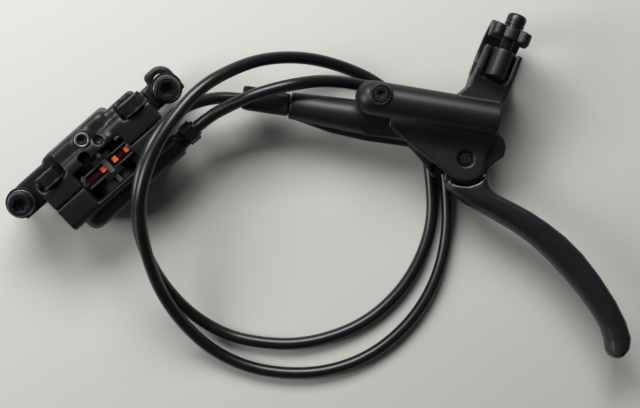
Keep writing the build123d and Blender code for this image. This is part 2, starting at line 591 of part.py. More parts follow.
def pad_plate(sign):
    y0 = LINING_IN + LINING_T
    plate = section_y(PAD_OUTLINE, y0, y0 + PLATE_T)
    plate -= rod((PAD_PIN_AT[0], 0, PAD_PIN_AT[1]), Y_AXIS, PAD_PIN_R + SLIP, 9)
    return plate if sign > 0 else mirror(plate, Plane.XZ)


def pad_lining(sign):
    outline = [(-11.8, 6.2), (-9.8, 4.2), (7.8, 4.2), (9.8, 6.2), (9.8, 18.4), (8.0, 20.0),
               (-10.0, 20.0), (-11.8, 18.4)]
    lining = section_y(outline, LINING_IN, LINING_IN + LINING_T)
    return lining if sign > 0 else mirror(lining, Plane.XZ)


def pad_spring():
    """Thin bent sheet: a leaf along each plate, joined by two straps under the pin."""
    outer, t = LINING_IN + LINING_T - PAD_TRAVEL - RUN, 0.45
    leaf = section_y([(-11.8, 21.0), (10.6, 21.0), (10.6, 27.8), (4.0, 27.8), (4.0, 25.6),
                      (-5.2, 25.6), (-5.2, 27.8), (-11.8, 27.8)], outer - t, outer)
    spring = leaf + mirror(leaf, Plane.XZ)
    for x0, x1 in ((-1.7, -0.9), (-0.1, 0.7)):
        spring += box(x0, x1, -outer, outer, 25.2, 25.6)
    return spring


def pad_pin():
    pin = rod((PAD_PIN_AT[0], -8.1, PAD_PIN_AT[1]), Y_AXIS, PAD_PIN_R, 17.2)
    return pin + rod((PAD_PIN_AT[0], 9.1, PAD_PIN_AT[1]), Y_AXIS, PAD_PIN_R, 1.6)


def pad_spacer():
    """Plate between the pads, with a flange over the linings and three lugs on it."""
    plate = box(-12.0, 9.9, -SPACER_HALF, SPACER_HALF, 3.4, 24.4)
    plate += box(-11.6, 9.9, -2.0, 2.0, 20.3, 21.1)
    for x0, x1, top in ((-3.9, -1.9, 27.0), (2.2, 4.2, 27.0), (8.3, 9.9, 26.6)):
        plate += box(x0, x1, -1.15, 1.15, 20.5, top)
    return plate


def caliper_bleed_screw():
    screw = rod((*CALIPER_BLEED_AT, 28.6), Z_AXIS, 2.8, 1.6)
    screw += rod((*CALIPER_BLEED_AT, 25.2), Z_AXIS, 2.0, 3.4)
    return screw - rod((*CALIPER_BLEED_AT, 27.2), Z_AXIS, 1.95, 5)


BOSS_END = 26.0 - INLET_X


def inlet_fitting():
    """Threaded stub in the inlet boss; the hose end sits in its socket."""
    stub = rod((BOSS_END - 8.0, 0, 0), X_AXIS, 4.0, 11.4)
    stub += rod((BOSS_END, 0, 0), X_AXIS, 4.4, 0.8)
    stub -= rod((BOSS_END - 1.0, 0, 0), X_AXIS, 3.2, 8)
    return stub - rod((BOSS_END - 12, 0, 0), X_AXIS, 0.9, 20)


def caliper_hose_nut():
    x = BOSS_END + 3.4
    nut = hexagon((x, 0, 0), X_AXIS, 8.0, 5.4) + rod((x + 5.4, 0, 0), X_AXIS, 3.5, 1.0)
    nut += rod((BOSS_END + 1.6, 0, 0), X_AXIS, 3.2, 3.0)
    return nut - rod((BOSS_END, 0, 0), X_AXIS, HOSE_R, 14)


def caliper_olive():
    return Pos(BOSS_END - 0.1, 0, 0) * olive(1.7, 3.2)


def caliper_hose_insert():
    return Pos(BOSS_END - 0.1, 0, 0) * (Rot(0, 0, 180) * hose_insert(3.2))


def mount_bolt(x, y):
    bolt = rod((x, y, MOUNT_TIP), Z_AXIS, MOUNT_BOLT_R, MOUNT_THREAD_END - MOUNT_TIP)
    bolt += rod((x, y, MOUNT_THREAD_END), Z_AXIS, MOUNT_WAIST_R, 20 - MOUNT_THREAD_END)
    bolt += rod((x, y, 20), Z_AXIS, 5.0, 6.0)
    return bolt - hexagon((x, y, 22.8), Z_AXIS, 5.0, 5)


def mount_dome(x, y):
    dome = rod((x, y, 17.4), Z_AXIS, 5.4, 2.6) & Pos(x, y, 27.5) * Sphere(9.6)
    return dome - rod((x, y, 16), Z_AXIS, MOUNT_BOLT_R + SLIP, 6)


def mount_cup(x, y):
    cup_washer = rod((x, y, 17), Z_AXIS, 6.3, 2.0) - Pos(x, y, 27.5) * Sphere(9.6)
    return cup_washer - rod((x, y, 16), Z_AXIS, MOUNT_BOLT_R + 2 * SLIP, 6)


# Hose

def point_of(loc, x, y, z):
    p = (loc * Location((x, y, z))).position
    return (p.X, p.Y, p.Z)


def hose_route():
    start = [point_of(LEVER, HOSE_END_X, BORE_Y, 0), point_of(LEVER, -95.6, BORE_Y, 0)]
    inlet = CALIPER * INLET
    end = [point_of(inlet, BOSS_END + 15.0, 0, 0), point_of(inlet, BOSS_END - 0.1, 0, 0)]
    return start + HOSE_MIDDLE + end


def corner_radii(points):
    radii = []
    for a, b, c in zip(points, points[1:], points[2:]):
        u, v = Vector(*b) - Vector(*a), Vector(*c) - Vector(*b)
        half_turn = math.radians(u.get_angle(v)) / 2
        radii.append(0.45 * min(u.length, v.length) / math.tan(half_turn))
    return radii


def brake_hose():
    points = hose_route()
    radii = corner_radii(points)
    path = FilletPolyline(*points, radius=radii)
    tube = sweep(Plane(origin=path @ 0, z_dir=path % 0) * Circle(HOSE_R), path=path)
    expected = math.pi * HOSE_R ** 2 * path.length
    print("hose length %.1f, smallest corner radius %.1f" % (path.length, min(radii)))
    print("corner radii " + " ".join("%.0f" % r for r in radii))
    print("tube volume %.0f, section times length %.0f" % (tube.volume, expected))
    for t, sign in ((0, 1), (1, -1)):
        direction = (path % t) * sign
        tube -= rod(path @ t - direction, direction, HOSE_BORE_R, BARB_L + 1.3)
    return tube


def save(name, shape):
    solids = shape.solids()
    if len(solids) != 1:
        print("check", name, len(solids), "solids")
    export_step(shape, "parts/" + name + ".step")


def build():
    lever_nut = LEVER * LEVER_NUT
    inlet = CALIPER * INLET
    save("lever_body", LEVER * lever_body())
    save("clamp_cap", CLAMP * clamp_cap())
    save("clamp_hinge_pin", CLAMP * clamp_hinge_pin())
    save("clamp_bolt", CLAMP * clamp_bolt())
    save("lever_blade", LEVER * lever_blade())
    save("reach_screw", LEVER * reach_screw())
    save("pivot_pin", LEVER * pivot_pin())
    save("pivot_bush_upper", LEVER * pivot_bush(1))
    save("pivot_bush_lower", LEVER * pivot_bush(-1))
    save("push_rod", LEVER * push_rod())
    save("master_piston", LEVER * master_piston())
    save("primary_cup", LEVER * cup("primary"))
    save("secondary_cup", LEVER * cup("secondary"))
    save("master_spring", LEVER * master_spring())
    save("piston_retainer", LEVER * piston_retainer())
    save("dust_boot", LEVER * dust_boot())
    save("reservoir_bladder", LEVER * reservoir_bladder())
    save("reservoir_plug", LEVER * reservoir_plug())
    save("lever_bleed_screw", LEVER * lever_bleed_screw())
    save("lever_bleed_seal", LEVER * lever_bleed_seal())
    save("lever_hose_nut", lever_nut * hose_nut(7.0, 5.5, SOCKET_R, LEVER_NUT_BODY))
    save("lever_olive", lever_nut * Pos(LEVER_NUT_BODY, 0, 0) * olive(2.4, SOCKET_R))
    save("lever_hose_insert", LEVER * Location((HOSE_END_X, BORE_Y, 0)) * hose_insert(3.5))
    save("hose_boot", LEVER * hose_boot())
    save("caliper_inner_half", CALIPER * caliper_inner_half())
    save("caliper_outer_half", CALIPER * caliper_outer_half())
    save("body_bolt_rear", CALIPER * body_bolt(BODY_BOLT_X[0]))
    save("body_bolt_front", CALIPER * body_bolt(BODY_BOLT_X[1]))
    save("crossover_seal", CALIPER * crossover_seal())
    for sign, side in ((1, "inner"), (-1, "outer")):
        save("piston_" + side, CALIPER * caliper_piston(sign))
        save("piston_seal_" + side, CALIPER * piston_seal(sign))
        save("pad_plate_" + side, CALIPER * pad_plate(sign))
        save("pad_lining_" + side, CALIPER * pad_lining(sign))
    save("pad_spring", CALIPER * pad_spring())
    save("pad_pin", CALIPER * pad_pin())
    save("pad_spacer", CALIPER * pad_spacer())
    save("caliper_bleed_screw", CALIPER * caliper_bleed_screw())
    save("inlet_fitting", inlet * inlet_fitting())
    save("caliper_hose_nut", inlet * caliper_hose_nut())
    save("caliper_olive", inlet * caliper_olive())
    save("caliper_hose_insert", inlet * caliper_hose_insert())
    for sign, end in ((-1, "rear"), (1, "front")):
        x, y = sign * MOUNT_X, MOUNT_Y[end]
        save("mount_bolt_" + end, CALIPER * mount_bolt(x, y))
        save("mount_dome_" + end, CALIPER * mount_dome(x, y))
        save("mount_cup_" + end, CALIPER * mount_cup(x, y))
    save("brake_hose", brake_hose())


build()
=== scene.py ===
import json
import math

import bmesh
import bpy
from mathutils import Matrix, Vector

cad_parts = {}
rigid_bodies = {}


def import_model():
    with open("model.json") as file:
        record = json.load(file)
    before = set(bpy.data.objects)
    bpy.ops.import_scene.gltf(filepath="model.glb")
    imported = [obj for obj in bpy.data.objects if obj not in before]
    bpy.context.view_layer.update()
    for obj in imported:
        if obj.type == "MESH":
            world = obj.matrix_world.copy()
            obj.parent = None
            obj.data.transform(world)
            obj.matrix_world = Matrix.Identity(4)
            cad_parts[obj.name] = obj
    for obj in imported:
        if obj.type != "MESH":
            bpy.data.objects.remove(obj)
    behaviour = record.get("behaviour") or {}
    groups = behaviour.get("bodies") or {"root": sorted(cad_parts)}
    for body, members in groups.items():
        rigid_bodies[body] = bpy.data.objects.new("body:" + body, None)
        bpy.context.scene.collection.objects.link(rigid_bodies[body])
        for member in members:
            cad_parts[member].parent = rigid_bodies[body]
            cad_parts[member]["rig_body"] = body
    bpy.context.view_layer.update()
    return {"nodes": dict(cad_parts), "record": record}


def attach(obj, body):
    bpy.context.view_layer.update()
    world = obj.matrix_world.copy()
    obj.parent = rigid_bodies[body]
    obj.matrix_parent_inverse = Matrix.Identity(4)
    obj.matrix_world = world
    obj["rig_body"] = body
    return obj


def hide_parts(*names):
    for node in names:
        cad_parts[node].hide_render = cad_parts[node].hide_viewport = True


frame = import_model()
brake = bpy.context.scene

MM = 0.001

# Where the lever unit and the caliper lie on the table, as in the CAD source
LEVER_AT = Vector((57.6, 11.2, 15.2)) * MM
LEVER_TURN = math.radians(-9.5)
CALIPER_AT = Vector((-88.6, 12.9, 1.2)) * MM
CALIPER_TURN = math.radians(41.5)
CALIPER_LEAN = math.radians(12.0)
CLAMP_AT = Vector((6.8, 43.1, 0.0)) * MM
CLAMP_TURN = math.radians(-11.8)

LEVER = Matrix.Translation(LEVER_AT) @ Matrix.Rotation(LEVER_TURN, 4, "Z")
CLAMP = LEVER @ Matrix.Translation(CLAMP_AT) @ Matrix.Rotation(CLAMP_TURN, 4, "Z")
CALIPER = (Matrix.Translation(CALIPER_AT) @ Matrix.Rotation(CALIPER_TURN, 4, "Z")
           @ Matrix.Rotation(CALIPER_LEAN, 4, "X"))


# Camera: straight above the table

CAMERA_AT = (-0.001, -0.007, 0.5)
SENSOR_MM = 36.0
FOCAL_PIXELS = 1190.0
PHOTO_WIDTH = 640.0

lens = bpy.data.cameras.new("table_camera")
lens.sensor_width = SENSOR_MM
lens.lens = SENSOR_MM * FOCAL_PIXELS / PHOTO_WIDTH
lens.clip_start = 0.01
camera = bpy.data.objects.new("table_camera", lens)
camera.location = CAMERA_AT
brake.collection.objects.link(camera)
brake.camera = camera


# Brake hose

HOSE_DIAMETER = 5.0 * MM
STEPS_BETWEEN_POINTS = 10
STEPS_ROUND_HOSE = 6
HOSE_ROUTE_MM = [
    (-4.46, 31.72, 15.2), (-35.0, 36.83, 15.2),
    (-49.6, 35, 21), (-60.2, 27.6, 31.4), (-67.8, 14.6, 38), (-72.2, -0.4, 37.6),
    (-73.2, -15.4, 31.2), (-70.2, -29.2, 21.8), (-64, -41.6, 12.8), (-54.6, -52.8, 6),
    (-41.2, -61.4, 2.6), (-27.8, -64.8, 2.5), (-11.4, -65.8, 2.6), (5, -62.4, 2.5),
    (19.8, -55.4, 2.6), (32.4, -44, 2.5), (41.2, -30.2, 2.6), (46.2, -14, 2.5), (45.6, 2.4, 2.6),
    (43.4, 18.8, 2.6), (35, 33.4, 2.5), (22.4, 44.4, 2.5), (7.6, 50.4, 6.8), (-7.2, 53, 14),
    (-21.6, 51.6, 23), (-32.8, 47.6, 30), (-46.8, 38.8, 40), (-57, 26.2, 43.4),
    (-64.6, 14.2, 44.4), (-70.2, -2.4, 43.2), (-71, -16.4, 36.3), (-69, -30, 28.2),
    (-65.2, -43, 19.2), (-57.6, -55.8, 11.6), (-46.6, -67.6, 4.4), (-31.6, -75.2, 2.6),
    (-15.4, -78, 2.5), (1.2, -77.2, 2.6), (17.2, -72, 2.5), (30.8, -62.6, 2.6), (41.8, -50, 2.5),
    (49, -35.2, 2.6), (52.4, -18.8, 2.6), (52.2, -2.4, 2.6), (50.2, 14.2, 2.5), (44.2, 28.8, 5.4),
    (31.4, 38.8, 9.6), (16.4, 42, 10.2), (1.2, 43.2, 18), (-12.6, 40.6, 26.4), (-27.2, 36.6, 27),
    (-38.2, 32, 22.8),
    (-46.82, 27.55, 20.65), (-58.13, 17.55, 20.65),
]


def lay_hose():
    """The hose as one smooth line; its points carry its radius, so its box is the hose's own."""
    line = bpy.data.curves.new("hose_cover", "CURVE")
    line.dimensions = "3D"
    route = line.splines.new("NURBS")
    route.points.add(len(HOSE_ROUTE_MM) - 1)
    for point, place in zip(route.points, HOSE_ROUTE_MM):
        point.co = (*(Vector(place) * MM), 1.0)
        point.radius = HOSE_DIAMETER / 2
    route.order_u = 3
    route.use_endpoint_u = True
    route.resolution_u = STEPS_BETWEEN_POINTS
    line.bevel_depth = 1.0
    line.bevel_resolution = STEPS_ROUND_HOSE
    line.use_fill_caps = True
    hose = bpy.data.objects.new("hose_cover", line)
    brake.collection.objects.link(hose)
    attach(hose, "brake_set")
    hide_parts("brake_hose")
    return hose


hose = lay_hose()


# Finishes

class Flow:
    """One output of a finish's nodes, used in plain sums."""

    def __init__(self, finish, socket):
        self.finish = finish
        self.socket = socket

    def math(self, operation, *values):
        inputs = dict(enumerate(values))
        return self.finish.node("ShaderNodeMath", {"operation": operation}, inputs)

    def __add__(self, other):
        return self.math("ADD", self, other)

    __radd__ = __add__

    def __mul__(self, other):
        return self.math("MULTIPLY", self, other)

    __rmul__ = __mul__

    def __sub__(self, other):
        return self.math("SUBTRACT", self, other)

    def __rsub__(self, other):
        return self.math("SUBTRACT", other, self)


class Finish:
    """The node tree of one finish of the brake."""

    def __init__(self, name):
        self.material = bpy.data.materials.new(name)
        self.material.use_nodes = True
        self.tree = self.material.node_tree
        self.shader = self.tree.nodes["Principled BSDF"]
        self.place = self.node("ShaderNodeTexCoord", output="Object")

    def node(self, kind, settings=None, sockets=None, output=0):
        made = self.tree.nodes.new(kind)
        for key, value in (settings or {}).items():
            setattr(made, key, value)
        for key, value in (sockets or {}).items():
            self.feed(made.inputs[key], value)
        return Flow(self, made.outputs[output])

    def feed(self, socket, value):
        if isinstance(value, Flow):
            self.tree.links.new(value.socket, socket)
        else:
            socket.default_value = value

    def noise(self, scale, detail=2.0, roughness=0.5, place=None):
        return self.node("ShaderNodeTexNoise", None, {
            "Vector": place or self.place, "Scale": scale, "Detail": detail,
            "Roughness": roughness})

    def ramp(self, factor, low, high):
        """0 below low, 1 above high."""
        return self.node("ShaderNodeMapRange", {"interpolation_type": "SMOOTHSTEP"}, {
            "Value": factor, "From Min": low, "From Max": high})

    def blend(self, factor, first, second):
        """The first colour where the factor is 0, the second where it is 1."""
        mix = self.tree.nodes.new("ShaderNodeMix")
        mix.data_type = "RGBA"
        self.feed(mix.inputs["Factor"], factor)
        for socket in mix.inputs:
            if socket.type == "RGBA":
                self.feed(socket, first if socket.name == "A" else second)
        return Flow(self, next(s for s in mix.outputs if s.type == "RGBA"))

    def bump(self, height, depth, strength=1.0):
        return self.node("ShaderNodeBump", None, {
            "Height": height, "Distance": depth, "Strength": strength})

    def gloss(self, level):
        """Strength of the clear reflection, the same all over the piece."""
        self.shader.inputs["Specular IOR Level"].default_value = level
        return self

    def set(self, **values):
        """Feeds the shader's sockets, named with underscores for spaces."""
        for key, value in values.items():
            self.feed(self.shader.inputs[key.replace("_", " ")], value)
        return self


def rgb(red, green, blue):
    return (red, green, blue, 1.0)


def satin_cast():
    """Sprayed satin black over a casting: fine orange peel, faint cloudiness."""
    finish = Finish("satin_black_cast_finish")
    cloud = finish.noise(90.0, 3.0)
    grain = finish.noise(2600.0, 1.0)
    peel = finish.noise(900.0, 2.0)
    colour = finish.blend(cloud, rgb(0.0014, 0.0018, 0.0024), rgb(0.0032, 0.0038, 0.0046))
    relief = peel * 0.6 + grain * 0.4
    return finish.gloss(0.36).set(
        Base_Color=colour, Roughness=cloud * 0.08 + grain * 0.06 + 0.36,
        Normal=finish.bump(relief, 0.00006, 0.35)).material


def satin_blade():
    """Satin black of the lever's blade, smoother than the castings."""
    finish = Finish("black_blade_finish")
    cloud = finish.noise(60.0, 3.0)
    grain = finish.noise(3000.0, 1.0)
    colour = finish.blend(cloud, rgb(0.0014, 0.0018, 0.0024), rgb(0.003, 0.0036, 0.0044))
    return finish.gloss(0.6).set(
        Base_Color=colour, Roughness=cloud * 0.1 + grain * 0.05 + 0.3,
        Normal=finish.bump(grain, 0.00004, 0.3)).material


def black_steel():
    """Black oxide on screws and nuts, worn a little to grey."""
    finish = Finish("black_steel_finish")
    wear = finish.ramp(finish.noise(700.0, 4.0, 0.6), 0.5, 0.72)
    grain = finish.noise(3500.0, 1.0)
    colour = finish.blend(wear, rgb(0.005, 0.0055, 0.0065), rgb(0.032, 0.032, 0.035))
    return finish.set(
        Base_Color=colour, Metallic=wear * 0.4 + 0.35, Roughness=grain * 0.1 + 0.28,
        Normal=finish.bump(grain, 0.00003, 0.3)).material


# How light the dull lines in bare metal are, as a share of its own colour
DULL_SHARE = 0.7


def bright_metal(name, tint, roughness):
    """Bare metal with fine lines across its height."""
    finish = Finish(name)
    brushed = finish.node("ShaderNodeMapping", None, {
        "Vector": finish.place, "Scale": (1.0, 1.0, 12.0)})
    lines = finish.noise(1500.0, 2.0, 0.6, brushed)
    dull = rgb(*(value * DULL_SHARE for value in tint[:3]))
    return finish.set(
        Base_Color=finish.blend(lines, dull, tint), Metallic=1.0,
        Roughness=lines * 0.15 + roughness,
        Normal=finish.bump(lines, 0.00002, 0.25)).material


def hose_jacket():
    """Extruded black jacket, satin, with faint cloudiness."""
    finish = Finish("hose_cover_finish")
    cloud = finish.noise(220.0, 3.0)
    grain = finish.noise(4000.0, 1.0)
    colour = finish.blend(cloud, rgb(0.0014, 0.0017, 0.0022), rgb(0.0034, 0.0038, 0.0045))
    return finish.gloss(0.45).set(
        Base_Color=colour, Roughness=cloud * 0.1 + 0.28,
        Normal=finish.bump(grain, 0.00002, 0.2)).material


def black_rubber():
    """Dull black rubber of the boots and cups."""
    finish = Finish("black_rubber_finish")
    cloud = finish.noise(150.0, 3.0)
    grain = finish.noise(2500.0, 2.0)
    colour = finish.blend(cloud, rgb(0.0035, 0.0038, 0.0044), rgb(0.008, 0.0084, 0.0092))
    return finish.gloss(0.25).set(
        Base_Color=colour, Roughness=cloud * 0.12 + 0.45,
        Normal=finish.bump(grain, 0.00005, 0.4)).material


def moulded(name, dark, light, roughness):
    """Moulded plastic, clouded between two shades."""
    finish = Finish(name)
    cloud = finish.noise(260.0, 3.0)
    grain = finish.noise(2800.0, 1.0)
    return finish.set(
        Base_Color=finish.blend(cloud, dark, light), Roughness=grain * 0.12 + roughness,
        Normal=finish.bump(grain, 0.00004, 0.3)).material


def friction_lining():
    """Pressed friction material: dark binder with metal and mineral grains."""
    finish = Finish("lining_finish")
    grains = finish.node("ShaderNodeTexVoronoi", None, {
        "Vector": finish.place, "Scale": 2400.0}, output="Distance")
    flecks = finish.ramp(finish.noise(1900.0, 3.0, 0.7), 0.56, 0.66)
    colour = finish.blend(flecks, rgb(0.035, 0.03, 0.028), rgb(0.3, 0.22, 0.13))
    return finish.set(
        Base_Color=colour, Metallic=flecks * 0.7, Roughness=0.85 - flecks * 0.4,
        Normal=finish.bump(grains, 0.0001, 0.6)).material


# Heights over the table between which the painted shade on the spacer fades from deep red to its
# own bright orange
SPACER_PAINTED_SHADE_TOP = 25.6 * MM
SPACER_PAINTED_SHADE_END = 26.6 * MM


def spacer_plastic_painted_shade():
    """Clear red-orange plastic with painted shade: deep red painted where it lies low, its own
    bright orange at its raised lugs.
    """
    finish = Finish("spacer_red_painted_shade_finish")
    grain = finish.noise(2800.0, 1.0)
    height = finish.node("ShaderNodeVectorMath", {"operation": "DOT_PRODUCT"}, {
        0: finish.place, 1: (0.0, 0.0, 1.0)}, output="Value")
    # Painted shade: below these heights the spacer's orange is darkened to deep red, as shade deep
    # in the caliper's window
    clear_of_painted_shade = finish.ramp(height, SPACER_PAINTED_SHADE_TOP, SPACER_PAINTED_SHADE_END)
    return finish.set(
        # Deep red painted shade first, the spacer's own bright orange second
        Base_Color=finish.blend(clear_of_painted_shade, rgb(0.1, 0.008, 0.005), rgb(0.7, 0.11, 0.045)),
        Roughness=grain * 0.12 + 0.3, Normal=finish.bump(grain, 0.00004, 0.3)).material


FINISHES = {
    "satin_black_cast": satin_cast(),
    "black_blade": satin_blade(),
    "black_steel": black_steel(),
    "bare_steel": bright_metal("bare_steel_finish", rgb(0.56, 0.56, 0.57), 0.22),
    "bare_aluminium": bright_metal("bare_aluminium_finish", rgb(0.82, 0.83, 0.84), 0.25),
    "brass": bright_metal("brass_finish", rgb(0.72, 0.5, 0.2), 0.25),
    "hose_cover": hose_jacket(),
    "black_rubber": black_rubber(),
    "bush_plastic": moulded("bush_plastic_finish", rgb(0.5, 0.5, 0.48),
                            rgb(0.62, 0.62, 0.6), 0.4),
    "lining": friction_lining(),
    "spacer_red": spacer_plastic_painted_shade(),
    "piston_resin": moulded("piston_resin_finish", rgb(0.02, 0.019, 0.018),
                            rgb(0.045, 0.042, 0.04), 0.5),
}


def dress(piece, finish):
    piece.data.materials.clear()
    piece.data.materials.append(finish)


for part in frame["record"]["subparts"]:
    dress(frame["nodes"][part["node"]], FINISHES[part["material_slot"]])
dress(hose, FINISHES["hose_cover"])
NODE_SLOTS = {part["node"]: part["material_slot"] for part in frame["record"]["subparts"]}


# Castings: the CAD shapes with their edges melted round, as a mould leaves them

# Corners nearer to each other than this are one
WELD = 0.01 * MM

# Node, piece, grid in mm, rounds of softening, share of the faces kept
CASTINGS = [
    ("lever_body", "lever_casting", 0.31, 20, 0.32),
    ("clamp_cap", "clamp_cap_casting", 0.3, 12, 0.6),
    ("lever_blade", "blade_forging", 0.42, 16, 0.6),
    ("hose_boot", "hose_boot_moulding", 0.38, 8, 0.7),
    ("caliper_inner_half", "inner_half_casting", 0.38, 38, 0.4),
    ("caliper_outer_half", "outer_half_casting", 0.38, 38, 0.4),
]


def settle(piece):
    """Works the piece's modifiers into its mesh."""
    bpy.context.view_layer.update()
    shape = piece.evaluated_get(bpy.context.evaluated_depsgraph_get())
    mesh = bpy.data.meshes.new_from_object(shape)
    piece.modifiers.clear()
    old = piece.data
    piece.data = mesh
    bpy.data.meshes.remove(old)


def melt_casting(node, name, grid, softness, keep):
    """Piece that stands for a node, with its edges and corners melted round."""
    source = frame["nodes"][node]
    piece = bpy.data.objects.new(name, source.data.copy())
    brake.collection.objects.link(piece)
    skin = bmesh.new()
    skin.from_mesh(piece.data)
    bmesh.ops.remove_doubles(skin, verts=skin.verts, dist=WELD)
    skin.to_mesh(piece.data)
    skin.free()
    remesh = piece.modifiers.new("grid", "REMESH")
    remesh.mode = "VOXEL"
    remesh.voxel_size = grid
    remesh.use_smooth_shade = True
    smooth = piece.modifiers.new("soften", "SMOOTH")
    smooth.factor = 0.5
    smooth.iterations = softness
    thin = piece.modifiers.new("thin", "DECIMATE")
    thin.ratio = keep
    settle(piece)
    piece.data.shade_smooth()
    dress(piece, FINISHES[NODE_SLOTS[node]])
    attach(piece, source["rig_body"])
    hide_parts(node)


for node, name, grid, softness, keep in CASTINGS:
    melt_casting(node, name, grid * MM, softness, keep)


# Screws, nuts and washers: profiles turned about their own axis

TURN_STEPS = 72
FULL_TURN = 2 * math.pi
RIMS = ("round", "hex", "star", "knurl")
SHARP_EDGE = math.radians(32)
PROFILE_WELD = 0.001 * MM
SEAM_WELD = 0.002 * MM

# Shares of a ring's radius
STAR_POINTS, STAR_DEPTH = 6, 0.2
KNURL_DEPTH = 0.035

# In mm, as the profiles are
THREAD_DEPTH = 0.32
KEY_CHAMFER = 0.25
KEY_POINT = 0.6


def rim(kind, angle):
    """Share of a ring's radius at an angle: round, hexagon by its flats, star or knurl."""
    if kind == "hex":
        return 1.0 / math.cos(angle % (math.pi / 3) - math.pi / 6)
    if kind == "star":
        return 1.0 + STAR_DEPTH * math.cos(STAR_POINTS * angle)
    if kind == "knurl":
        return 1.0 - KNURL_DEPTH * (round(angle / FULL_TURN * TURN_STEPS) % 2)
    return 1.0


def add_piece(name, shape, slot, body, node=None):
    """Object from a bmesh, with its finish, the body it rides on and the node it stands for."""
    bmesh.ops.recalc_face_normals(shape, faces=shape.faces)
    if shape.calc_volume(signed=True) < 0:
        bmesh.ops.reverse_faces(shape, faces=shape.faces)
    mesh = bpy.data.meshes.new(name)
    shape.to_mesh(mesh)
    shape.free()
    piece = bpy.data.objects.new(name, mesh)
    brake.collection.objects.link(piece)
    mesh.shade_smooth()
    mesh.set_sharp_from_angle(angle=SHARP_EDGE)
    dress(piece, FINISHES[slot])
    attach(piece, body)
    if node:
        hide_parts(node)


def turn_piece(name, profile, place, node, turn=0.0, slot=None):
    """Turns a profile of (radius, height) or (radius, height, kind), in mm, about place's Z.

    The piece stands for its node or, with a slot of its own, only rides with it.
    """
    shape = bmesh.new()
    ring_kind = shape.verts.layers.int.new("rim")
    corners = []
    for radius, height, kind in [(*point, "round")[:3] for point in profile]:
        corners.append(shape.verts.new((radius * MM, 0.0, height * MM)))
        corners[-1][ring_kind] = RIMS.index(kind)
    for first, second in zip(corners, corners[1:]):
        shape.edges.new((first, second))
    bmesh.ops.remove_doubles(shape, verts=shape.verts, dist=PROFILE_WELD)
    bmesh.ops.spin(shape, geom=shape.verts[:] + shape.edges[:], cent=(0, 0, 0), axis=(0, 0, 1),
                   angle=FULL_TURN, steps=TURN_STEPS, use_merge=True)
    for vertex in shape.verts:
        angle = math.atan2(vertex.co.y, vertex.co.x) % FULL_TURN
        share = rim(RIMS[vertex[ring_kind]], angle)
        vertex.co = Vector((vertex.co.x * share, vertex.co.y * share, vertex.co.z))
    bmesh.ops.remove_doubles(shape, verts=shape.verts, dist=SEAM_WELD)
    bmesh.ops.transform(shape, matrix=place @ Matrix.Rotation(turn, 4, "Z"), verts=shape.verts)
    body = frame["nodes"][node]["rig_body"]
    if slot:
        add_piece(name, shape, slot, body)
    else:
        add_piece(name, shape, NODE_SLOTS[node], body, node)


def thread(radius, start, end, pitch=1.0):
    """Rings of a screw thread from start up to end."""
    rings = []
    height = start
    while height < end - pitch:
        rings += [(radius - THREAD_DEPTH, height), (radius, height + pitch / 2)]
        height += pitch
    return rings


def along(direction, x, y, z):
    """Place whose Z runs along a direction of the unit."""
    heading = Vector(direction).to_track_quat("Z", "Y").to_matrix().to_4x4()
    return Matrix.Translation(Vector((x, y, z)) * MM) @ heading


def socket(flats, top, depth, kind="hex"):
    """Key socket in a head's top, from its rim down to its pointed floor."""
    r = flats / 2
    return [(r + KEY_CHAMFER, top, kind), (r, top - KEY_CHAMFER, kind), (r, top - depth, kind),
            (0.0, top - depth - KEY_POINT)]


# The two screws that hold the caliper to a frame, each on a domed washer in a cupped one
MOUNTS = {"rear": (-37.1, 11.0), "front": (37.1, 6.85)}
M6_KEY, KEY_DEPTH = 5.0, 3.0
HEAD_LOW, HEAD_TOP, HEAD_R = 20.0, 26.0, 5.0
for end, (x, y) in MOUNTS.items():
    spot = CALIPER @ along((0, 0, 1), x, y, 0)
    turn_piece("mount_screw_" + end, [(0.0, -2.0), (2.3, -2.0)] + thread(3.0, -1.6, 8.4) + [
        (2.8, 8.2), (2.8, HEAD_LOW), (HEAD_R - 0.3, HEAD_LOW),
        (HEAD_R, HEAD_LOW + 0.3, "knurl"), (HEAD_R, HEAD_TOP - 0.9, "knurl"),
        (HEAD_R - 0.15, HEAD_TOP - 0.75), (HEAD_R - 0.7, HEAD_TOP)]
        + socket(M6_KEY, HEAD_TOP, KEY_DEPTH), spot, "mount_bolt_" + end, turn=0.4)
    turn_piece("domed_washer_" + end, [
        (3.2, 18.45), (4.5, 19.02), (5.4, 19.56), (5.4, 19.85), (5.25, 20.0), (3.2, 20.0),
        (3.2, 18.45)], spot, "mount_dome_" + end)
    turn_piece("cupped_washer_" + end, [
        (3.4, 17.0), (6.1, 17.0), (6.3, 17.2), (6.3, 18.75), (6.05, 19.0), (4.5, 19.0),
        (3.4, 18.5), (3.4, 17.0)], spot, "mount_cup_" + end)

# The clamp's screw, grooved round its head
CLAMP_BOLT_Z, CLAMP_HEAD_TOP, M5_KEY = 15.8, 15.8, 4.0
CLAMP_BOLT = CLAMP @ along((0, 1, 0), 0, 0, CLAMP_BOLT_Z)
turn_piece("clamp_screw", [(0.0, -7.5), (2.0, -7.5)] + thread(2.5, -7.1, 6.0, 0.8) + [
    (2.5, 5.4), (2.5, 9.9), (3.5, 9.9), (3.5, 11.0), (3.9, 11.2), (3.9, 12.2), (3.72, 12.35),
    (3.72, 12.75), (3.9, 12.9), (3.9, 14.4), (3.75, 15.0), (3.4, 15.5),
    (2.9, CLAMP_HEAD_TOP)] + socket(M5_KEY, CLAMP_HEAD_TOP, KEY_DEPTH),
    CLAMP_BOLT, "clamp_bolt", turn=0.2)

